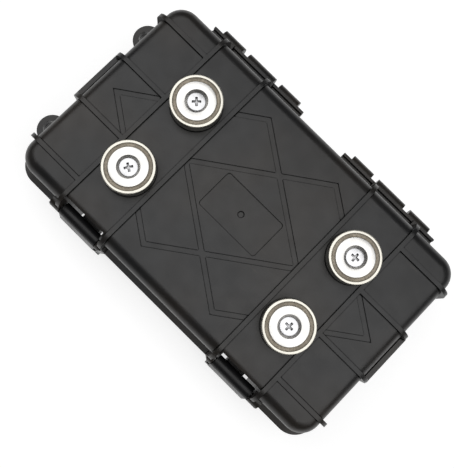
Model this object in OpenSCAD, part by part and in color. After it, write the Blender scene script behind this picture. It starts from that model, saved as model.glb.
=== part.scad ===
// Waterproof magnetic dry box, stored face down: the lid half lies on the ground and
// the base half is above it, with four screwed pot magnets facing up.
// X runs along the case, +Y is the hinge side, -Y the latch side, and Z is up from the lid's outer face.

/* [Case] */
// Length over the rim
rim_l = 154.8; // [154.6:0.2:155.4]
// Width over the rim
rim_w = 92.8; // [92.6:0.2:93]
// Corner radius of the rim
rim_r = 9; // [8.6:0.2:9.4]
// Thickness of each half's rim, at the middle of its slope
rim_t = 2.2; // [2:0.1:2.5]
// Thickness of each half's rim at its outer edge
rim_edge = 1; // [0.8:0.1:1.2]
// Overhang of the rim past the walls
rim_out = 2.4; // [2.3:0.1:2.5]
// Depth of the lid half, with its ribs
lid_h = 22; // [21:0.5:26]
// Depth of the base half, without its ribs and magnets
base_h = 20; // [20:0.5:25]
// Gap between the closed rims
parting_gap = 0.3; // [0.25:0.05:0.35]
// Thickness of the side walls
wall = 7; // [6.9:0.1:7.2]
// Thickness of the two faces
face_t = 2.6; // [2.4:0.1:3]
// Inward lean of a wall from rim to face
draft = 0.6; // [0.4:0.1:0.8]
// Rounding from wall to face
edge_r = 5; // [4:0.5:5.5]

/* [Ribs and face pattern] */
// Width of a raised rib
rib_w = 1.7; // [1.5:0.1:1.8]
// Height of a raised rib on the faces
rib_h = 0.8; // [0.6:0.1:1]
// Height of a raised rib on the side walls
rib_side = 2.2; // [1.8:0.1:2.3]
// Middle of the inner cross ribs, from the centre
rib_x_in = 28.8; // [28.7:0.1:29]
// Middle of the outer cross ribs, from the centre
rib_x_out = 50.6; // [50.5:0.1:50.8]
// Middle of the inner end ribs, from the centre
rib_y_in = 11; // [10.6:0.1:11.6]
// Middle of the outer end ribs, from the centre
rib_y_out = 33; // [32.8:0.1:33.5]
// Height of the end rails above the rim's face
end_rail_h = 13.5; // [11:0.5:14]
// Rise of the lattice struts for each millimetre along
lattice_slope = 0.71; // [0.7:0.005:0.72]
// Upright width of a lattice strut
lattice_w = 2.7; // [2.2:0.1:3]
// Depth of the pressed pattern
press_d = 0.4; // [0.3:0.1:0.5]
// Length of the middle panel
panel_l = 28.6; // [27:0.2:30]
// Width of the middle panel
panel_w = 16.6; // [15:0.2:18]

/* [Magnets] */
// Diameter of a pot magnet
pot_d = 20; // [19.6:0.1:20]
// Height of a pot magnet
pot_h = 6; // [5.5:0.1:7]
// Magnet centres along the case, from its middle
pot_x = 40.45; // [40.4:0.05:40.5]
// Magnet centres across the case, from its middle
pot_y = 17.3; // [17:0.1:21]
// Wall of the steel cup
cup_t = 1.2; // [1:0.1:1.4]
// Diameter of the ring magnet
ring_d = 14.8; // [14:0.1:15.4]
// Diameter of the screw's thread
screw_d = 3.5; // [3.4:0.1:3.6]
// Diameter of the screw's head
head_d = 6.8; // [6.6:0.1:7]
// Diameter of the countersink in a ring magnet
sink_d = 8.6; // [8.2:0.1:8.8]
// Length of the screw
screw_l = 16; // [16:0.5:18]

/* [Hinges] */
// Middle of each hinge, from the centre
hinge_x = 36.6; // [36.4:0.1:36.8]
// Distance of the hinge line from the middle of the case
hinge_y = 50.2; // [50.1:0.1:50.4]
// Diameter of a hinge knuckle
knuckle_d = 6; // [5.6:0.1:6]
// Length of the middle knuckle
knuckle_mid = 14.7; // [14:0.1:15]
// Length of each side knuckle
knuckle_side = 10.8; // [10:0.1:11]
// Gap between neighbouring knuckles
knuckle_gap = 3; // [2.6:0.1:3.1]
// Length of the rail over the knuckles
rail_l = 49.4; // [48.6:0.2:49.8]
// Diameter of the hinge and latch pins
pin_d = 2; // [1.8:0.1:2]

/* [Latches] */
// Middle of each latch, from the centre
latch_x = 40.25; // [40.2:0.05:40.3]
// Width of a latch
latch_w = 18.3; // [17.9:0.1:18.3]
// Distance of the latch pin from the middle of the case
latch_y = 44.4; // [44.3:0.1:44.5]
// Height of the latch pin above the base's rim
latch_z = 11; // [10.5:0.1:11.5]
// Diameter of the latch's barrel
barrel_d = 5.4; // [5.2:0.1:5.4]
// Distance of the latch pocket's wall from the middle of the case
pocket_y = 40.4; // [40.4:0.1:40.6]
// Width of the hook and of the lip it holds
hook_w = 8.8; // [8.4:0.2:9.6]

/* [Eyes and seal] */
// Diameter of a lanyard eye's hole
eye_d = 5.8; // [5.2:0.1:5.8]
// Distance of an eye's centre from the middle of the case, along it
eye_x = 78.1; // [78:0.1:78.3]
// Distance of an eye's centre from the middle of the case, across it
eye_y = 26.4; // [25.6:0.1:26.6]
// Outer radius of an eye
eye_r = 6.2; // [6:0.1:6.3]
// Width of the rubber seal
seal_w = 1.8; // [1.6:0.1:1.9]

/* [Hidden] */
$fn = 64;

eps = 0.01;
big = 200;
play = 0.35;                    // side clearance beside a latch and behind a knuckle
bore_play = 0.05;               // radial clearance of a pin in its bore

wall_l = rim_l - 2 * rim_out;
wall_w = rim_w - 2 * rim_out;
wall_r = rim_r - 0.3;
cavity_l = wall_l - 2 * wall;
cavity_w = wall_w - 2 * wall;
cavity_r = 5;
cavity_edge = 3;
panel_r = 1.2;
gate_d = 0.7;                   // dimple in the middle of the panel

parting_z = lid_h;              // top of the lid's rim
base_z = lid_h + parting_gap;   // underside of the base's rim
face_z = base_z + base_h;       // the base's outer face
hinge_z = lid_h + parting_gap / 2;
pin_r = pin_d / 2;
bore_r = pin_r + bore_play;

groove_w = seal_w + 0.2;
groove_d = 2.2;
seal_h = 1.6;
tongue_w = 1.2;
tongue_h = 0.6;
seal_mid = 1.7;                 // from the cavity's edge to the middle of the seal

knuckle_r = knuckle_d / 2;
relief_r = knuckle_r + 0.4;
hinge_drop = parting_gap / 2;   // the hinge line lies midway between the two rims
ledge_z = relief_r;             // the ledge clears the other half's knuckle
ledge_t = 2;
ledge_in = wall_w / 2 - 2;
ledge_out = hinge_y - 1.2;
lip_w = 1.1;
lip_h = 1.3;
gutter_w = 1.3;                 // channel between a ledge's lip and the wall
rail_from = hinge_x - 25.1;     // the ledge's end nearest the middle
mid_from = hinge_x - knuckle_mid / 2;
mid_to = hinge_x + knuckle_mid / 2;
side_from = mid_to + knuckle_gap;
side_to = side_from + knuckle_side;
other_to = mid_from - knuckle_gap;
other_from = other_to - knuckle_side;

pocket_in = rib_x_in + rib_w / 2 + 1.1;     // latch pocket, nearest the middle
pocket_out = rib_x_out - rib_w / 2;         // latch pocket, nearest the end
ear_out = rib_x_out + 3.9;
ear_r = 2.7;
lip_y = 44.6;
lip_z = [17, 21];               // height of the lip that a hook holds
slot_half = 7.7;                // from a latch's middle to the inner end of the opening beside the lip
hook_z = [14.2, 16.6];
barrel_r = barrel_d / 2;

// ---- plain shapes ----

module round_rect(l, w, r) {
    square([l - 2 * r, w], center = true);
    square([l, w - 2 * r], center = true);
    for (sx = [-1, 1]) {
        for (sy = [-1, 1]) {
            translate([sx * (l / 2 - r), sy * (w / 2 - r)]) circle(r);
        }
    }
}

module frame_2d(l, w, r, t) {
    difference() {
        round_rect(l + t, w + t, r + t / 2);
        round_rect(l - t, w - t, r - t / 2);
    }
}

// Cross-section of a wall: foot at the rim, leaning side and rounded top edge
module edge_section(r, h, edge, lean) {
    top = r - lean;
    polygon([[0, 0], [r, 0], [top, h - edge], [top - edge, h - edge], [top - edge, h], [0, h]]);
    translate([top - edge, h - edge]) {
        intersection() {
            circle(edge);
            square(edge);
        }
    }
}

// Runs a wall's section, whose corner centre is at x = 0, round a rectangle with corners of radius r
module run_round(l, w, r) {
    cx = l / 2 - r;
    cy = w / 2 - r;
    for (c = [[cx, cy, 0], [-cx, cy, 90], [-cx, -cy, 180], [cx, -cy, 270]]) {
        translate([c[0], c[1], 0]) rotate(c[2]) rotate_extrude(angle = 90) children();
    }
    for (turn = [0, 180]) {
        rotate(turn) translate([-cx, cy, 0]) rotate([90, 0, 90]) linear_extrude(2 * cx) children();
        rotate(turn) translate([cx, cy, 0]) rotate([90, 0, 0]) linear_extrude(2 * cy) children();
    }
}

// Solid block with leaning walls and a rounded top edge, standing on z = 0
module block(l, w, r, h, edge, lean) {
    translate([r - l / 2, r - w / 2, 0]) cube([l - 2 * r, w - 2 * r, h]);
    run_round(l, w, r) edge_section(r, h, edge, lean);
}

// Flange at the foot of the walls, sloping down to its outer edge
module rim() {
    root = rim_r - rim_out - 0.5;
    top = rim_t + rim_out - rim_edge;
    run_round(rim_l, rim_w, rim_r) {
        polygon([[0, 0], [rim_r, 0], [rim_r, rim_edge], [root, top], [0, top]]);
    }
}

// Whole cross-section of a half, grown by the height of a rib on the face and on the walls
module rib_section(width, h) {
    for (side = [0, 1]) {
        mirror([side, 0]) {
            square([width / 2 - wall_r, h + rib_h]);
            translate([width / 2 - wall_r, 0]) {
                edge_section(wall_r + rib_side, h + rib_h, edge_r + 1.2, draft);
            }
        }
    }
}

module rod_x(from, to, y, z, r) {
    translate([from, y, z]) rotate([0, 90, 0]) cylinder(h = to - from, r = r);
}

// ---- features that both halves share; the rim's face is at z = 0 and the outer face at z = h ----

module both_ends() {
    for (side = [0, 1]) {
        mirror([side, 0, 0]) children();
    }
}

module cross_ribs(h) {
    for (x = [-rib_x_out, -rib_x_in, rib_x_in, rib_x_out]) {
        translate([x - rib_w / 2, 0, 0]) rotate([90, 0, 90]) linear_extrude(rib_w) rib_section(wall_w, h);
    }
}

module end_ribs(h) {
    both_ends() {
        for (y = [-rib_y_out, -rib_y_in, rib_y_in, rib_y_out]) {
            translate([0, y + rib_w / 2, 0]) rotate([90, 0, 0]) linear_extrude(rib_w) intersection() {
                rib_section(wall_l, h);
                translate([rib_x_out, 0]) square([big, big]);
            }
        }
    }
}

// Rail that joins the two inner end ribs, with a slot between it and the wall
module end_rails() {
    rail_t = 1.9;
    slot_h = 4.5;
    out = rim_l / 2;
    from = wall_l / 2 - 2;
    both_ends() {
        translate([out - rail_t, -rib_y_in, 0]) cube([rail_t, 2 * rib_y_in, end_rail_h]);
        translate([from, -rib_y_in, 0]) cube([out - from - eps, 2 * rib_y_in, end_rail_h - slot_h]);
    }
}

module eye_tabs() {
    for (side = [-1, 1]) {
        translate([-eye_x + 1.2, side * eye_y, 0]) cylinder(h = rim_t + 0.5, r = eye_r);
    }
}

module eye_holes() {
    for (side = [-1, 1]) {
        translate([-eye_x, side * eye_y, -1]) cylinder(h = rim_t + 2, d = eye_d);
    }
}

module hinge_ledges() {
    deep = ledge_out - ledge_in;
    both_ends() {
        translate([rail_from, 0, ledge_z]) difference() {
            translate([0, ledge_in, 0]) cube([rail_l, deep, ledge_t + lip_h]);
            translate([-1, ledge_out - lip_w - gutter_w, ledge_t]) cube([rail_l + 2, gutter_w, big]);
        }
        for (x = [rib_x_in, rib_x_out]) {
            translate([x - rib_w / 2, ledge_in, ledge_z]) cube([rib_w, deep - 0.3, ledge_t + lip_h + 0.6]);
        }
    }
}

// Knuckle from one end to the other, joined to the ledge above it
module knuckle(from, to) {
    rod_x(from, to, hinge_y, -hinge_drop, knuckle_r);
    translate([from, ledge_in, 0]) cube([to - from, ledge_out - ledge_in, ledge_z + eps]);
}

module relief(from, to) {
    rod_x(from - play, to + play, hinge_y, -hinge_drop, relief_r);
}

module side_knuckles() {
    both_ends() {
        knuckle(side_from, side_to);
        knuckle(other_from, other_to);
    }
}

module side_reliefs() {
    both_ends() {
        relief(side_from, side_to);
        relief(other_from, other_to);
    }
}

module mid_knuckles() {
    both_ends() knuckle(mid_from, mid_to);
}

module mid_reliefs() {
    both_ends() relief(mid_from, mid_to);
}

module hinge_bores() {
    both_ends() rod_x(other_from - 1, side_to + 1, hinge_y, -hinge_drop, bore_r);
}

// Sloping cheeks at both sides of a latch pocket, from the rim's face to z = top
module cheeks(top) {
    both_ends() {
        linear_extrude(top) {
            polygon([
                [rib_x_in - rib_w / 2, -pocket_y + 2], [pocket_in, -pocket_y + 2],
                [pocket_in, -latch_y - ear_r - 1.1], [rib_x_in - rib_w / 2, -rim_w / 2 + 0.2]
            ]);
            polygon([
                [pocket_out, -pocket_y + 2], [ear_out, -pocket_y + 2],
                [ear_out, -latch_y - ear_r + 0.4], [ear_out - 0.4, -latch_y - ear_r],
                [pocket_out, -latch_y - ear_r]
            ]);
        }
    }
}

module shell(h) {
    block(wall_l, wall_w, wall_r, h, edge_r, draft);
    rim();
    cross_ribs(h);
    end_ribs(h);
    end_rails();
    eye_tabs();
    hinge_ledges();
}

module cavity(h) {
    translate([0, 0, -eps]) block(cavity_l, cavity_w, cavity_r, h - face_t + eps, cavity_edge, draft);
}

// ---- pressed pattern of the faces ----

module strut(a, b) {
    polygon([a, b, b + [0, lattice_w], a + [0, lattice_w]]);
}

module lattice() {
    reach = rib_x_in - rib_w / 2;
    rise = 19.05;                                   // inner corner of the middle diamond
    peak = [-17.6, rise + 17.6 * lattice_slope];
    chevron_x = 67;
    for (turn = [0, 1]) {
        mirror([0, turn]) {
            for (side = [0, 1]) {
                mirror([side, 0]) {
                    strut(peak, [reach, rise - reach * lattice_slope]);
                    strut(peak, [-reach, peak[1] - (reach + peak[0]) * lattice_slope]);
                    intersection() {
                        strut([-chevron_x, -lattice_w], [-chevron_x + 20, 20 * lattice_slope - lattice_w]);
                        translate([-big - rib_x_out - rib_w / 2, 0]) square([big, rib_y_in - rib_w / 2]);
                    }
                }
            }
        }
    }
}

module pot_places(n) {
    side = [[-1, 1], [-1, -1], [1, 1], [1, -1]][n - 1];
    translate([side[0] * pot_x, side[1] * pot_y, face_z]) children();
}

// ---- nodes ----

module base_shell() {
    color("#3a3a3c") difference() {
        translate([0, 0, base_z]) {
            difference() {
                union() {
                    shell(base_h);
                    side_knuckles();
                    intersection() {
                        cheeks(latch_z + ear_r);
                        ears();
                    }
                }
                cavity(base_h);
                mid_reliefs();
                hinge_bores();
                eye_holes();
                latch_pockets();
                both_ends() rod_x(rib_x_in - 3, ear_out + 1, -latch_y, latch_z, bore_r);
                translate([0, 0, base_h - press_d]) linear_extrude(1) lattice();
                translate([0, 0, base_h - press_d]) linear_extrude(1) round_rect(panel_l, panel_w, panel_r);
            }
            translate([0, 0, -tongue_h]) linear_extrude(tongue_h + eps) {
                frame_2d(cavity_l + 2 * seal_mid, cavity_w + 2 * seal_mid, cavity_r + seal_mid, tongue_w);
            }
        }
        for (n = [1:4]) {
            pot_places(n) translate([0, 0, -face_t - 1]) cylinder(h = face_t + 2, d = screw_d + 0.4);
            pot_places(n) cylinder(h = 2, d = pot_d + 0.3);
        }
        translate([0, 0, face_z - press_d - gate_d]) cylinder(h = 1, d = 2.7);
    }
}

// Outline of the ears that hold a latch pin, seen from the end
module ears() {
    translate([-big / 2, 0, 0]) rotate([90, 0, 90]) linear_extrude(big) {
        translate([-latch_y, latch_z]) circle(ear_r);
        translate([-latch_y, 0]) square([latch_y, latch_z + ear_r]);
        translate([-latch_y - ear_r - 2, 0]) square([latch_y, rim_t + 3]);
        translate([-latch_y - ear_r, 0]) square([latch_y, latch_z]);
    }
}

module latch_pockets() {
    both_ends() {
        translate([pocket_in, -pocket_y - 20, -1]) cube([pocket_out - pocket_in, 20, big]);
    }
}

module lid_shell() {
    h = lid_h - rib_h;
    color("#343436") translate([0, 0, parting_z]) mirror([0, 0, 1]) {
        difference() {
            union() {
                shell(h);
                mid_knuckles();
                cheeks(10);
                translate([0, 0, h - eps]) linear_extrude(rib_h + eps) round_rect(panel_l, panel_w, panel_r);
            }
            cavity(h);
            side_reliefs();
            hinge_bores();
            eye_holes();
            lid_pockets();
            translate([0, 0, -eps]) linear_extrude(groove_d + eps) {
                frame_2d(cavity_l + 2 * seal_mid, cavity_w + 2 * seal_mid, cavity_r + seal_mid, groove_w);
            }
            translate([0, 0, h - press_d]) linear_extrude(1) lattice();
        }
        both_ends() {
            translate([latch_x - hook_w / 2, -lip_y, parting_z - lip_z[1]]) {
                cube([hook_w, lip_y - pocket_y + 0.5, lip_z[1] - lip_z[0]]);
            }
        }
    }
}

// Room for the latch in the lid: a trimmed rim, and a deeper opening round the lip
module lid_pockets() {
    trim_y = 45.2;
    slot_from = latch_x - slot_half;
    both_ends() {
        translate([pocket_in, -trim_y - 20, -1]) cube([pocket_out - pocket_in, 20, big]);
        translate([slot_from, -pocket_y - 20, -1]) cube([pocket_out - slot_from, 20, big]);
    }
}

module lid_seal() {
    color("#1c1c1e") translate([0, 0, parting_z - groove_d]) linear_extrude(seal_h) {
        frame_2d(cavity_l + 2 * seal_mid, cavity_w + 2 * seal_mid, cavity_r + seal_mid, seal_w);
    }
}

module hinge_pin(side) {
    color("silver") mirror([1 - side, 0, 0]) rod_x(other_from + 0.3, side_to - 0.3, hinge_y, hinge_z, pin_r);
}

module hinge_pin_left() {
    hinge_pin(0);
}

module hinge_pin_right() {
    hinge_pin(1);
}

// Lever that turns on its pin and holds the lid's lip with its hook
module latch(side) {
    pin_z = base_z + latch_z;
    back = -45.8;
    x0 = latch_x - latch_w / 2;
    color("#28282a") mirror([1 - side, 0, 0]) difference() {
        union() {
            rod_x(x0, x0 + latch_w, -latch_y, pin_z, barrel_r);
            translate([x0, 0, 0]) rotate([90, 0, 90]) linear_extrude(latch_w) {
                polygon([
                    [-latch_y, pin_z + 1], [back, pin_z - 3.5], [back, 12.5], [-48.4, 8.6], [-49.4, 9.2],
                    [-48.2, 12], [-48.1, 16], [-48.5, 22], [-48.4, 27], [-latch_y - barrel_r, pin_z]
                ]);
            }
            translate([latch_x - hook_w / 2, back - 0.5, hook_z[0]]) cube([hook_w, 5, hook_z[1] - hook_z[0]]);
        }
        rod_x(x0 - 1, x0 + latch_w + 1, -latch_y, pin_z, bore_r);
    }
}

module latch_left() {
    latch(0);
}

module latch_right() {
    latch(1);
}

module latch_pin(side) {
    color("silver") mirror([1 - side, 0, 0]) {
        rod_x(rib_x_in - rib_w / 2 + 0.3, ear_out - 0.3, -latch_y, base_z + latch_z, pin_r);
    }
}

module latch_pin_left() {
    latch_pin(0);
}

module latch_pin_right() {
    latch_pin(1);
}

module magnet_cup(n) {
    color("gainsboro") pot_places(n) difference() {
        cylinder(h = pot_h, d = pot_d);
        translate([0, 0, cup_t]) cylinder(h = pot_h, d = pot_d - 2 * cup_t);
        translate([0, 0, -1]) cylinder(h = pot_h, d = screw_d + 0.4);
    }
}

module magnet_resin(n) {
    color("#7d746b") pot_places(n) translate([0, 0, cup_t]) difference() {
        cylinder(h = pot_h - cup_t - 0.5, d = pot_d - 2 * cup_t);
        translate([0, 0, -1]) cylinder(h = pot_h, d = ring_d);
    }
}

head_drop = (sink_d - head_d) / 2 - 0.06;     // the head sits in the countersink's cone

module magnet_ring(n) {
    bore_d = screw_d + 0.4;
    sink = (sink_d - bore_d) / 2;
    color("white") pot_places(n) difference() {
        translate([0, 0, cup_t]) cylinder(h = pot_h - cup_t, d = ring_d);
        cylinder(h = pot_h, d = bore_d);
        translate([0, 0, pot_h - sink]) cylinder(h = sink, d1 = bore_d, d2 = sink_d);
        translate([0, 0, pot_h - eps]) cylinder(h = 1, d = sink_d);
    }
}

module magnet_screw(n) {
    thread_r = screw_d / 2 - bore_play;
    cone = head_d / 2 - thread_r;
    color("silver") pot_places(n) translate([0, 0, pot_h - head_drop]) difference() {
        union() {
            translate([0, 0, -cone]) cylinder(h = cone, r1 = thread_r, d2 = head_d);
            translate([0, 0, -screw_l]) cylinder(h = screw_l - cone + eps, r = thread_r);
        }
        for (turn = [0, 90]) {
            rotate(turn) translate([-1.85, -0.4, -1.3]) cube([3.7, 0.8, 2]);
        }
    }
}

module screw_seal(n) {
    color("#1c1c1e") pot_places(n) translate([0, 0, -face_t - 1]) difference() {
        cylinder(h = 1, d = 8);
        translate([0, 0, -1]) cylinder(h = 3, d = screw_d + 0.1);
    }
}

module screw_washer(n) {
    color("silver") pot_places(n) translate([0, 0, -face_t - 1.8]) difference() {
        cylinder(h = 0.8, d = 8);
        translate([0, 0, -1]) cylinder(h = 3, d = screw_d + 0.3);
    }
}

module lock_nut(n) {
    hex_d = 6 / cos(30);
    color("silver") pot_places(n) translate([0, 0, -face_t - 1.8]) difference() {
        union() {
            translate([0, 0, -3]) cylinder(h = 3, d = hex_d, $fn = 6);
            translate([0, 0, -4.4]) cylinder(h = 4.4, d = 5.4);
        }
        translate([0, 0, -6]) cylinder(h = 7, d = screw_d);
    }
}

lid_shell();
lid_seal();
base_shell();
hinge_pin_left();
hinge_pin_right();
latch_left();
latch_right();
latch_pin_left();
latch_pin_right();
for (n = [1:4]) {
    magnet_cup(n);
    magnet_resin(n);
    magnet_ring(n);
    magnet_screw(n);
    screw_seal(n);
    screw_washer(n);
    lock_nut(n);
}
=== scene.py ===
import math

import bpy
from mathutils import Matrix, Vector


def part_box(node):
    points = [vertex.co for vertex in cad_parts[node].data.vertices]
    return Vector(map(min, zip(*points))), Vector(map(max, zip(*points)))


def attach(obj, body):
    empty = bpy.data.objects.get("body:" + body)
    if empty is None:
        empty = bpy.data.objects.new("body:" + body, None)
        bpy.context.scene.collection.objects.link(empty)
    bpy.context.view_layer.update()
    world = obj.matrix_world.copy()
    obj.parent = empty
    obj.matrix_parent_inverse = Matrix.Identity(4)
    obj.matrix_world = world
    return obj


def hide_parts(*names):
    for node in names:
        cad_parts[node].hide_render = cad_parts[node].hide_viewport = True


bl_info = {
    "name": "Magnetic dry box",
    "version": (1, 0, 0),
    "blender": (4, 5, 0),
    "location": "View3D > Sidebar > Dry Box",
    "description": "Builds the case, magnets, latches and studio of a magnetic dry box",
    "category": "Add Mesh",
}

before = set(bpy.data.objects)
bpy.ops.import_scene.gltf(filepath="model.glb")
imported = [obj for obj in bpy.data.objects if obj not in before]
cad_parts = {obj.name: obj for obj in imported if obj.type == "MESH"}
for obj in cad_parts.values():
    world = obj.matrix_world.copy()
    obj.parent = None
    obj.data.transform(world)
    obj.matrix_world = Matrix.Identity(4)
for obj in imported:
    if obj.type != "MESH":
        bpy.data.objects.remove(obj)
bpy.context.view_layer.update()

MM = 0.001
SIDES = ("left", "right")
MAGNETS = (1, 2, 3, 4)
CROSS_TURNS = (45, 32, 87, 2)                   # how each screw's cross stands, in degrees clockwise
FACE_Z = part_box("magnet_cup_1")[0][2]           # the base's outer face, on which the cups stand
CUP_WALL = 1.2 * MM
SCREW_HOLE = 1.95 * MM                          # radius of the hole through a cup and its ring magnet
SINK_MOUTH = 4.3 * MM                           # radius of the countersink at the ring magnet's face
THREAD_RADIUS = 1.7 * MM


# ---- choices a user would change ----

class CaseChoices(bpy.types.PropertyGroup):
    case_colour: bpy.props.FloatVectorProperty(
        name="Case colour", description="Colour of the moulded halves", subtype="COLOR",
        size=3, min=0, max=1, default=(0.0088, 0.0088, 0.0092))
    case_warmth: bpy.props.FloatVectorProperty(
        name="Warm patches", description="Colour of the faint warm patches in the moulding", subtype="COLOR",
        size=3, min=0, max=1, default=(0.019, 0.0155, 0.0125))
    latch_colour: bpy.props.FloatVectorProperty(
        name="Latch colour", description="Colour of the two latches", subtype="COLOR",
        size=3, min=0, max=1, default=(0.006, 0.006, 0.0066))
    edge_round: bpy.props.FloatProperty(
        name="Edge rounding", description="Rounding of the moulding's sharp edges", unit="LENGTH",
        min=0.05 * MM, max=0.4 * MM, default=0.16 * MM)
    latch_round: bpy.props.FloatProperty(
        name="Latch rounding", description="Rounding of a latch's edges", unit="LENGTH",
        min=0.05 * MM, max=0.5 * MM, default=0.28 * MM)


class MagnetChoices(bpy.types.PropertyGroup):
    lip_round: bpy.props.FloatProperty(
        name="Lip rounding", description="Rounding of a cup's lip", unit="LENGTH",
        min=0.1 * MM, max=0.5 * MM, default=0.4 * MM)
    foot_round: bpy.props.FloatProperty(
        name="Foot rounding", description="Rounding between a cup's side and its back", unit="LENGTH",
        min=0.3 * MM, max=1.2 * MM, default=0.9 * MM)
    resin_sag: bpy.props.FloatProperty(
        name="Resin sag", description="How far the cast resin sags between cup and magnet", unit="LENGTH",
        min=0, max=0.3 * MM, default=0.16 * MM)
    resin_colour: bpy.props.FloatVectorProperty(
        name="Resin colour", description="Colour of the cast resin", subtype="COLOR",
        size=3, min=0, max=1, default=(0.4, 0.345, 0.26))
    thread_pitch: bpy.props.FloatProperty(
        name="Thread pitch", description="Distance from one turn of the screw's thread to the next",
        unit="LENGTH", min=0.5 * MM, max=1 * MM, default=0.7 * MM)


class StageChoices(bpy.types.PropertyGroup):
    floor_colour: bpy.props.FloatVectorProperty(
        name="Floor colour", description="Colour of the studio floor", subtype="COLOR",
        size=3, min=0, max=1, default=(0.5, 0.5, 0.5))
    floor_size: bpy.props.FloatProperty(
        name="Floor size", description="Length of the floor's side", unit="LENGTH", min=1, max=60, default=40)
    top_light: bpy.props.FloatProperty(
        name="Top light", description="Power of the large light overhead", subtype="POWER", unit="POWER",
        min=0, max=60, default=4.45)
    light_length: bpy.props.FloatProperty(
        name="Light length", description="Length of the light along the case", unit="LENGTH",
        min=0.2, max=2, default=1.5)
    light_width: bpy.props.FloatProperty(
        name="Light width", description="Width of the light across the case", unit="LENGTH",
        min=0.2, max=2, default=0.5)
    floor_glow: bpy.props.FloatProperty(
        name="Floor glow", description="Light that comes up through the paper of the light table",
        min=0, max=1, default=0.72)
    wall_light: bpy.props.FloatProperty(
        name="Wall light", description="Strength of the pale band where the floor ends",
        min=0, max=2, default=0.72)
    room_light: bpy.props.FloatProperty(
        name="Room light", description="Strength of the even light from the room", min=0, max=2, default=0.06)


# ---- making a mesh ----

def nothing_selected():
    if bpy.context.object and bpy.context.object.mode != "OBJECT":
        bpy.ops.object.mode_set(mode="OBJECT")
    bpy.ops.object.select_all(action="DESELECT")


def start_on(obj):
    nothing_selected()
    obj.select_set(True)
    bpy.context.view_layer.objects.active = obj


def outward_faces():
    bpy.ops.object.mode_set(mode="EDIT")
    bpy.ops.mesh.select_all(action="SELECT")
    bpy.ops.mesh.remove_doubles(threshold=1e-7)
    bpy.ops.mesh.normals_make_consistent(inside=False)
    bpy.ops.object.mode_set(mode="OBJECT")


def smooth(obj):
    start_on(obj)
    bpy.ops.object.shade_smooth_by_angle(angle=math.radians(30))


def rounded(obj, width, segments):
    """Rounds the sharp edges of a piece."""
    start_on(obj)
    bevel = obj.modifiers.new("rounded", "BEVEL")
    bevel.width = width
    bevel.segments = segments
    bevel.limit_method = "ANGLE"
    bevel.angle_limit = math.radians(32)
    bevel.use_clamp_overlap = True
    bevel.miter_outer = "MITER_ARC"
    bpy.ops.object.modifier_apply(modifier=bevel.name)


def flat_faces_kept(obj):
    """Lets each wide flat face keep its own direction, so that only the rounded edges shade."""
    start_on(obj)
    weighted = obj.modifiers.new("flat faces kept", "WEIGHTED_NORMAL")
    weighted.mode = "FACE_AREA"
    weighted.weight = 100
    weighted.keep_sharp = True
    bpy.ops.object.modifier_apply(modifier=weighted.name)


def worn_copy(node, name, width, segments=2):
    """Copies a CAD node, joins its loose triangles and rounds its edges."""
    weld = 0.002 * MM
    flat = math.radians(0.4)
    start_on(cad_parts[node])
    bpy.ops.object.duplicate()
    piece = bpy.context.object
    piece.name = name
    piece.parent = None
    bpy.ops.object.mode_set(mode="EDIT")
    bpy.ops.mesh.select_all(action="SELECT")
    bpy.ops.mesh.remove_doubles(threshold=weld)
    bpy.ops.mesh.dissolve_limited(angle_limit=flat)
    bpy.ops.object.mode_set(mode="OBJECT")
    rounded(piece, width, segments)
    smooth(piece)
    flat_faces_kept(piece)
    return piece


def arc(x, z, radius, start, end, steps=5):
    """Points on an arc of a turned outline, angles in degrees."""
    angles = [math.radians(start + (end - start) * i / steps) for i in range(steps + 1)]
    return [(x + radius * math.cos(a), z + radius * math.sin(a)) for a in angles]


def turned(name, outline, centre, base_z, sides=96):
    """Turns a closed outline of (radius, height) points into a ring, one extrusion for each point."""
    nothing_selected()
    first_r, first_z = outline[0]
    bpy.ops.mesh.primitive_circle_add(vertices=sides, radius=first_r, fill_type="NOTHING", location=(0, 0, 0))
    piece = bpy.context.object
    piece.name = name
    bpy.ops.object.mode_set(mode="EDIT")
    bpy.ops.mesh.select_all(action="SELECT")
    bpy.ops.transform.translate(value=(0, 0, first_z))
    radius, height = first_r, first_z
    for next_r, next_z in outline[1:] + [outline[0]]:
        bpy.ops.mesh.extrude_edges_move(TRANSFORM_OT_translate={"value": (0, 0, next_z - height)})
        share = next_r / radius
        bpy.ops.transform.resize(value=(share, share, 1), center_override=(0, 0, next_z))
        radius, height = next_r, next_z
    bpy.ops.mesh.select_all(action="SELECT")
    bpy.ops.transform.translate(value=(centre[0], centre[1], base_z))
    bpy.ops.object.mode_set(mode="OBJECT")
    outward_faces()
    return piece


def put_on(piece, body, nodes, finish):
    """Dresses a piece, hangs it on its body and hides the nodes it stands for."""
    piece.data.materials.clear()
    piece.data.materials.append(finish)
    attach(piece, body)
    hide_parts(*nodes)


def middle(node):
    low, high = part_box(node)
    return ((low[0] + high[0]) / 2, (low[1] + high[1]) / 2)


# ---- finishes ----

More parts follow.
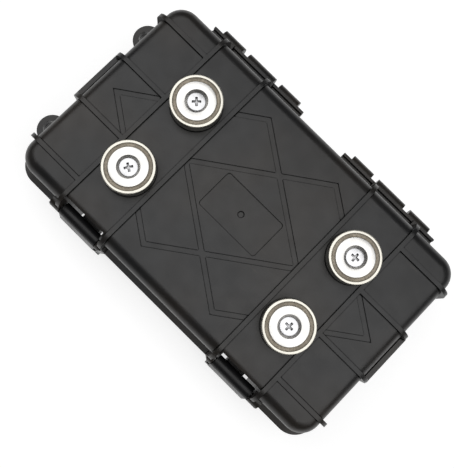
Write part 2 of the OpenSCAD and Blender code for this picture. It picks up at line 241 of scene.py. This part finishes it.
class Finish:
    """A procedural material with its shader, read in each piece's own place."""

    def __init__(self, name):
        self.material = bpy.data.materials.new(name)
        self.material.use_nodes = True
        self.nodes = self.material.node_tree.nodes
        self.links = self.material.node_tree.links
        self.shader = self.nodes["Principled BSDF"]
        self.place = self.nodes.new("ShaderNodeTexCoord").outputs["Object"]

    def stretch(self, scale):
        mapping = self.nodes.new("ShaderNodeMapping")
        mapping.inputs["Scale"].default_value = scale
        self.links.new(self.place, mapping.inputs["Vector"])
        return mapping.outputs["Vector"]

    def noise(self, scale, detail=3, roughness=0.5, along=None):
        noise = self.nodes.new("ShaderNodeTexNoise")
        noise.inputs["Scale"].default_value = scale
        noise.inputs["Detail"].default_value = detail
        noise.inputs["Roughness"].default_value = roughness
        self.links.new(along or self.place, noise.inputs["Vector"])
        return noise.outputs["Fac"]

    def cells(self, scale):
        cells = self.nodes.new("ShaderNodeTexVoronoi")
        cells.inputs["Scale"].default_value = scale
        self.links.new(self.place, cells.inputs["Vector"])
        return cells.outputs["Distance"]

    def ranged(self, value, low, high, to_low, to_high):
        ranged = self.nodes.new("ShaderNodeMapRange")
        ranged.inputs["From Min"].default_value = low
        ranged.inputs["From Max"].default_value = high
        ranged.inputs["To Min"].default_value = to_low
        ranged.inputs["To Max"].default_value = to_high
        self.links.new(value, ranged.inputs["Value"])
        return ranged.outputs["Result"]

    def mixed(self, share, first, second):
        mix = self.nodes.new("ShaderNodeMix")
        mix.data_type = "RGBA"
        colours = [socket for socket in mix.inputs if socket.type == "RGBA"]
        for socket, colour in zip(colours, (first, second)):
            if isinstance(colour, bpy.types.NodeSocket):
                self.links.new(colour, socket)
            else:
                socket.default_value = (*colour, 1)
        self.links.new(share, mix.inputs["Factor"])
        return next(socket for socket in mix.outputs if socket.type == "RGBA")

    def hollows(self, distance, low, high):
        """Ambient occlusion mask for painted shade: 1 in the open and 0 deep in a groove or corner."""
        shade = self.nodes.new("ShaderNodeAmbientOcclusion")
        shade.samples = 8
        shade.inputs["Distance"].default_value = distance
        return self.ranged(shade.outputs["AO"], low, high, 0, 1)

    def grain(self, height, strength, distance):
        bump = self.nodes.new("ShaderNodeBump")
        bump.inputs["Strength"].default_value = strength
        bump.inputs["Distance"].default_value = distance
        self.links.new(height, bump.inputs["Height"])
        self.links.new(bump.outputs["Normal"], self.shader.inputs["Normal"])

    def wire(self, socket, value):
        if isinstance(value, bpy.types.NodeSocket):
            self.links.new(value, self.shader.inputs[socket])
        else:
            self.shader.inputs[socket].default_value = value


def moulded_plastic(name, colour, warmth, rough, gloss):
    """Satin moulded plastic with a fine grain, faint patches, scuffs and painted shade in its grooves."""
    finish = Finish(name)
    patches = finish.ranged(finish.noise(22, 2), 0.42, 0.62, 0, 1)
    scuffs = finish.ranged(finish.noise(90, 6, 0.7, finish.stretch((1, 6, 3))), 0.62, 0.8, 0, 1)
    tone = finish.mixed(patches, colour, warmth)
    tone = finish.mixed(scuffs, tone, tuple(1.5 * c for c in warmth))
    # painted shade: ambient occlusion darkens the grooves and corners to a third of the colour
    open_share = finish.hollows(0.75 * MM, 0.62, 0.88)
    dark = tuple(0.3 * c for c in colour)
    finish.wire("Base Color", finish.mixed(open_share, dark, tone))
    # painted shade: a nearly black metal is put in the grooves, so that they show as dark lines with no gloss
    finish.wire("Metallic", finish.ranged(open_share, 0, 1, 0.9, 0))
    finish.wire("Roughness", finish.ranged(finish.noise(160, 4), 0.3, 0.7, rough - 0.04, rough + 0.05))
    finish.wire("Specular IOR Level", gloss)
    finish.grain(finish.noise(3200, 2), 0.28, 0.03 * MM)
    return finish.material


def nickel(name, colour, rough, grain, painted_shade_reach=0.5 * MM, painted_shade_share=0.22):
    """Nickel plating with faint wear, fine polishing lines and painted shade in its hollows."""
    finish = Finish(name)
    smudges = finish.ranged(finish.noise(140, 4), 0.4, 0.72, 0, 1)
    dull = tuple(0.88 * c for c in colour)
    tone = finish.mixed(smudges, colour, dull)
    # painted shade: ambient occlusion darkens the hollows towards a share of the colour
    painted_shade = tuple(painted_shade_share * c for c in colour)
    tone = finish.mixed(finish.hollows(painted_shade_reach, 0.35, 0.85), painted_shade, tone)
    finish.wire("Base Color", tone)
    finish.wire("Metallic", 1.0)
    finish.wire("Roughness", finish.ranged(finish.noise(420, 5, 0.6), 0.3, 0.75, rough, rough + 0.06))
    finish.grain(finish.noise(1500, 3, 0.6, finish.stretch((1, 1, 5))), grain, 0.02 * MM)
    return finish.material


def cast_resin(name, colour):
    finish = Finish(name)
    specks = finish.ranged(finish.cells(1400), 0.1, 0.6, 0, 1)
    clouds = finish.ranged(finish.noise(260, 3), 0.35, 0.65, 0, 1)
    tone = finish.mixed(clouds, colour, tuple(0.66 * c for c in colour))
    tone = finish.mixed(specks, tuple(0.5 * c for c in colour), tone)
    # painted shade: darker where the resin meets the cup's wall and the magnet
    tone = finish.mixed(finish.hollows(0.6 * MM, 0.5, 0.97), tuple(0.25 * c for c in colour), tone)
    finish.wire("Base Color", tone)
    finish.wire("Roughness", finish.ranged(clouds, 0, 1, 0.42, 0.62))
    finish.grain(finish.noise(900, 4), 0.4, 0.05 * MM)
    return finish.material


def seal_rubber(name):
    finish = Finish(name)
    dust = finish.ranged(finish.noise(300, 4), 0.5, 0.75, 0, 1)
    finish.wire("Base Color", finish.mixed(dust, (0.012, 0.012, 0.012), (0.035, 0.034, 0.032)))
    finish.wire("Roughness", finish.ranged(dust, 0, 1, 0.6, 0.8))
    finish.wire("Specular IOR Level", 0.3)
    finish.grain(finish.noise(2400, 2), 0.35, 0.03 * MM)
    return finish.material


# ---- pieces ----

class MoldCase(bpy.types.Operator):
    """Makes the two moulded halves and the seal between them"""
    bl_idname = "dry_box.mold_case"
    bl_label = "Case halves and seal"

    def execute(self, context):
        case = context.scene.dry_box_case
        plastic = moulded_plastic(
            "case_black", case.case_colour, case.case_warmth, rough=0.37, gloss=0.44)
        base = worn_copy("base_shell", "base_half", case.edge_round)
        put_on(base, "base", ["base_shell"], plastic)
        lid = worn_copy("lid_shell", "lid_half", case.edge_round)
        put_on(lid, "lid", ["lid_shell"], plastic)
        seal = worn_copy("lid_seal", "seal_ring", 0.5 * MM, 4)
        put_on(seal, "lid", ["lid_seal"], seal_rubber("seal_rubber"))
        return {"FINISHED"}


class MakeLatches(bpy.types.Operator):
    """Makes the two latches with their pins, and the hinge pins"""
    bl_idname = "dry_box.make_latches"
    bl_label = "Latches and pins"

    def execute(self, context):
        case = context.scene.dry_box_case
        plastic = moulded_plastic(
            "latch_black", case.latch_colour, case.latch_colour, rough=0.4, gloss=0.32)
        steel = nickel("pin_steel", (0.56, 0.56, 0.56), rough=0.24, grain=0.2)
        for side in SIDES:
            latch = worn_copy(f"latch_{side}", f"latch_lever_{side}", case.latch_round, 3)
            put_on(latch, f"latch_{side}", [f"latch_{side}"], plastic)
            for node in (f"latch_pin_{side}", f"hinge_pin_{side}"):
                pin = worn_copy(node, f"{node}_rod", 0.25 * MM, 3)
                put_on(pin, "base", [node], steel)
        return {"FINISHED"}


def cup_outline(lip, foot):
    low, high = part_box("magnet_cup_1")
    outer = (high[0] - low[0]) / 2
    inner = outer - CUP_WALL
    tall = high[2] - low[2]
    inner_lip = 0.2 * MM
    return (
        [(SCREW_HOLE, 0)]
        + arc(outer - foot, foot, foot, -90, 0)
        + arc(outer - lip, tall - lip, lip, 0, 90)
        + arc(inner + inner_lip, tall - inner_lip, inner_lip, 90, 180, 3)
        + [(inner, CUP_WALL), (SCREW_HOLE, CUP_WALL)]
    )


def ring_outline(outer, tall, floor):
    edge = 0.22 * MM
    mouth_edge = 0.12 * MM
    return (
        [(SCREW_HOLE, floor), (outer, floor)]
        + arc(outer - edge, tall - edge, edge, 0, 90, 3)
        + arc(SINK_MOUTH + mouth_edge, tall - mouth_edge, mouth_edge, 90, 150, 2)
        + [(SCREW_HOLE, tall - SINK_MOUTH + SCREW_HOLE)]
    )


def resin_outline(inner, outer, tall, floor, sag):
    """Block of resin between cup and ring magnet, its top sagging in a shallow curve."""
    steps = 6
    wide = outer - inner
    top = [
        (outer - wide * i / steps, tall - sag * 4 * (i / steps) * (1 - i / steps))
        for i in range(steps + 1)
    ]
    return [(inner, floor), (outer, floor)] + top


class MakeMagnets(bpy.types.Operator):
    """Makes the four pot magnets: cup, cast resin and countersunk ring magnet"""
    bl_idname = "dry_box.make_magnets"
    bl_label = "Pot magnets"

    def execute(self, context):
        choices = context.scene.dry_box_magnets
        # painted shade within 0.4 mm of the ring magnet's hollows
        bright = nickel(
            "magnet_nickel", (0.66, 0.65, 0.63), rough=0.28, grain=0.05,
            painted_shade_reach=0.4 * MM, painted_shade_share=0.45)
        plated = nickel("cup_nickel", (0.57, 0.55, 0.49), rough=0.22, grain=0.04)
        resin = cast_resin("resin_grey", choices.resin_colour)
        for n in MAGNETS:
            cup_node, ring_node, resin_node = (f"magnet_{part}_{n}" for part in ("cup", "ring", "resin"))
            centre = middle(cup_node)
            cup = turned(f"pot_cup_{n}", cup_outline(choices.lip_round, choices.foot_round), centre, FACE_Z)
            smooth(cup)
            put_on(cup, "base", [cup_node], plated)
            low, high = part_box(ring_node)
            ring_r = (high[0] - low[0]) / 2
            floor = low[2] - FACE_Z
            ring = turned(f"ring_magnet_{n}", ring_outline(ring_r, high[2] - FACE_Z, floor), centre, FACE_Z)
            smooth(ring)
            put_on(ring, "base", [ring_node], bright)
            low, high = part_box(resin_node)
            resin_r = (high[0] - low[0]) / 2
            outline = resin_outline(ring_r, resin_r, high[2] - FACE_Z, floor, choices.resin_sag)
            fill = turned(f"cast_resin_{n}", outline, centre, FACE_Z)
            smooth(fill)
            put_on(fill, "base", [resin_node], resin)
        return {"FINISHED"}


def screw_outline(head_r, top, low, pitch):
    """Head's flat with a soft edge, its cone, a plain neck and a threaded shank, from the top down."""
    axis = 0.02 * MM
    root = THREAD_RADIUS - 0.28 * MM
    neck = top - head_r + THREAD_RADIUS
    outline = [(axis, top), (head_r - 0.25 * MM, top), (head_r - 0.06 * MM, top - 0.05 * MM)]
    outline += [(head_r, top - 0.16 * MM), (THREAD_RADIUS, neck)]
    z = neck - 0.8 * MM
    while z - pitch > low + 0.3 * MM:
        outline += [(THREAD_RADIUS, z), (THREAD_RADIUS, z - 0.12 * pitch)]
        outline += [(root, z - 0.5 * pitch), (root, z - 0.62 * pitch)]
        z -= pitch
    outline += [(THREAD_RADIUS, z), (THREAD_RADIUS, low + 0.25 * MM)]
    outline += [(THREAD_RADIUS - 0.3 * MM, low), (axis, low)]
    return outline


def cut_cross(screw, centre, top, turn):
    """Cuts a tapered cross recess into a screw's head, two crossed wedges one after the other."""
    arm = 2.05 * MM
    width = 1.15 * MM
    deep = 1.1 * MM
    taper = (0.7, 0.6, 1)
    edge = 0.1 * MM
    for quarter in (0, 90):
        nothing_selected()
        bpy.ops.mesh.primitive_plane_add(size=1, location=(0, 0, 0))
        wedge = bpy.context.object
        bpy.ops.object.mode_set(mode="EDIT")
        bpy.ops.mesh.select_all(action="SELECT")
        bpy.ops.transform.resize(value=(2 * arm, width, 1), center_override=(0, 0, 0))
        bpy.ops.transform.translate(value=(0, 0, deep))
        bpy.ops.mesh.extrude_region_move(TRANSFORM_OT_translate={"value": (0, 0, -2 * deep)})
        bpy.ops.transform.resize(value=taper, center_override=(0, 0, -deep))
        bpy.ops.mesh.select_all(action="SELECT")
        bpy.ops.mesh.normals_make_consistent(inside=False)
        bpy.ops.mesh.bevel(offset=edge, segments=2, affect="EDGES")
        bpy.ops.transform.rotate(
            value=math.radians(turn + quarter), orient_axis="Z", center_override=(0, 0, 0))
        bpy.ops.transform.translate(value=(centre[0], centre[1], top))
        bpy.ops.object.mode_set(mode="OBJECT")
        start_on(screw)
        cut = screw.modifiers.new("cross", "BOOLEAN")
        cut.operation = "DIFFERENCE"
        cut.solver = "EXACT"
        cut.object = wedge
        bpy.ops.object.modifier_apply(modifier=cut.name)
        bpy.data.objects.remove(wedge, do_unlink=True)


class MakeScrews(bpy.types.Operator):
    """Makes the four countersunk screws with their seals, washers and lock nuts"""
    bl_idname = "dry_box.make_screws"
    bl_label = "Screws, washers and nuts"

    def execute(self, context):
        pitch = context.scene.dry_box_magnets.thread_pitch
        # painted shade reaching 1.8 mm, which paints the cross recess dark
        steel = nickel(
            "screw_steel", (0.6, 0.6, 0.61), rough=0.26, grain=0.1,
            painted_shade_reach=1.8 * MM, painted_shade_share=0.26)
        rubber = bpy.data.materials["seal_rubber"]
        for n in MAGNETS:
            node = f"magnet_screw_{n}"
            low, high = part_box(node)
            centre = middle(node)
            head_r = (high[0] - low[0]) / 2
            outline = screw_outline(head_r, high[2] - FACE_Z, low[2] - FACE_Z, pitch)
            screw = turned(f"countersunk_screw_{n}", outline, centre, FACE_Z, 64)
            cut_cross(screw, centre, high[2], CROSS_TURNS[n - 1])
            smooth(screw)
            put_on(screw, "base", [node], steel)
            seal = worn_copy(f"screw_seal_{n}", f"screw_seal_ring_{n}", 0.25 * MM, 3)
            put_on(seal, "base", [f"screw_seal_{n}"], rubber)
            for part, width in (("screw_washer", 0.12 * MM), ("lock_nut", 0.25 * MM)):
                piece = worn_copy(f"{part}_{n}", f"{part}_zinc_{n}", width)
                put_on(piece, "base", [f"{part}_{n}"], steel)
        return {"FINISHED"}


# ---- studio ----

SOFTBOX_PLACE = (0, 0.05, 0.6)
CAMERA_PLACE = Vector((0.0078, -0.0335, 0.2684))
CAMERA_RIGHT = Vector((0.7105, 0.7014, 0.0565))
CAMERA_AHEAD = Vector((-0.0279, 0.1083, -0.9937))


class SetStage(bpy.types.Operator):
    """Sets out the paper floor, the softbox, the room and the camera"""
    bl_idname = "dry_box.set_stage"
    bl_label = "Studio"

    def execute(self, context):
        stage = context.scene.dry_box_stage
        nothing_selected()
        bpy.ops.mesh.primitive_plane_add(size=stage.floor_size, location=(0, 0, 0))
        floor = context.object
        floor.name = "studio_floor"
        paper = Finish("studio_paper")
        fibres = paper.ranged(paper.noise(60, 5), 0.3, 0.7, 0, 1)
        pale = tuple(stage.floor_colour)
        paper.wire("Base Color", paper.mixed(fibres, pale, tuple(0.985 * c for c in pale)))
        paper.wire("Roughness", 0.85)
        paper.wire("Specular IOR Level", 0.1)
        paper.wire("Emission Color", (1, 1, 1, 1))
        paper.wire("Emission Strength", stage.floor_glow)
        floor.data.materials.append(paper.material)

        bpy.ops.object.light_add(type="AREA", location=SOFTBOX_PLACE)
        top = context.object
        top.name = "top_softbox"
        top.data.shape = "RECTANGLE"
        top.data.size = stage.light_length
        top.data.size_y = stage.light_width
        top.data.energy = stage.top_light

        world = bpy.data.worlds.new("studio_room")
        world.use_nodes = True
        background = world.node_tree.nodes["Background"]
        background.inputs["Color"].default_value = (1, 1, 1, 1)
        nodes, links = world.node_tree.nodes, world.node_tree.links
        height = nodes.new("ShaderNodeSeparateXYZ")
        links.new(nodes.new("ShaderNodeTexCoord").outputs["Generated"], height.inputs["Vector"])
        wall = nodes.new("ShaderNodeMapRange")
        wall.interpolation_type = "SMOOTHSTEP"
        wall.inputs["From Max"].default_value = 0.12    # the band ends 7 degrees up
        wall.inputs["To Min"].default_value = stage.wall_light
        wall.inputs["To Max"].default_value = stage.room_light
        links.new(height.outputs["Z"], wall.inputs["Value"])
        links.new(wall.outputs["Result"], background.inputs["Strength"])
        context.scene.world = world

        bpy.ops.object.camera_add(location=CAMERA_PLACE)
        camera = context.object
        camera.name = "studio_camera"
        ahead = CAMERA_AHEAD.normalized()
        right = (CAMERA_RIGHT - ahead * CAMERA_RIGHT.dot(ahead)).normalized()
        up = right.cross(ahead)
        turn = Matrix((right, up, -ahead)).transposed()
        camera.rotation_euler = turn.to_euler()
        camera.data.sensor_width = 36
        camera.data.lens = 47.69
        camera.data.clip_start = 0.005
        context.scene.camera = camera
        context.scene.view_settings.view_transform = "Standard"
        return {"FINISHED"}


class DryBoxPanel(bpy.types.Panel):
    bl_label = "Magnetic dry box"
    bl_idname = "DRY_BOX_PT_panel"
    bl_space_type = "VIEW_3D"
    bl_region_type = "UI"
    bl_category = "Dry Box"

    def draw(self, context):
        for operator in OPERATORS:
            self.layout.operator(operator.bl_idname)
        for group in ("dry_box_case", "dry_box_magnets", "dry_box_stage"):
            choices = getattr(context.scene, group)
            for name in choices.bl_rna.properties.keys():
                if name not in ("rna_type", "name"):
                    self.layout.prop(choices, name)


OPERATORS = (MoldCase, MakeLatches, MakeMagnets, MakeScrews, SetStage)
CHOICES = {
    "dry_box_case": CaseChoices,
    "dry_box_magnets": MagnetChoices,
    "dry_box_stage": StageChoices,
}


def register():
    for group in CHOICES.values():
        bpy.utils.register_class(group)
    for operator in OPERATORS:
        bpy.utils.register_class(operator)
    bpy.utils.register_class(DryBoxPanel)
    for name, group in CHOICES.items():
        setattr(bpy.types.Scene, name, bpy.props.PointerProperty(type=group))


def unregister():
    for name in CHOICES:
        delattr(bpy.types.Scene, name)
    bpy.utils.unregister_class(DryBoxPanel)
    for operator in reversed(OPERATORS):
        bpy.utils.unregister_class(operator)
    for group in reversed(list(CHOICES.values())):
        bpy.utils.unregister_class(group)


def main():
    register()
    bpy.ops.dry_box.mold_case()
    bpy.ops.dry_box.make_latches()
    bpy.ops.dry_box.make_magnets()
    bpy.ops.dry_box.make_screws()
    bpy.ops.dry_box.set_stage()


if __name__ == "__main__":
    main()
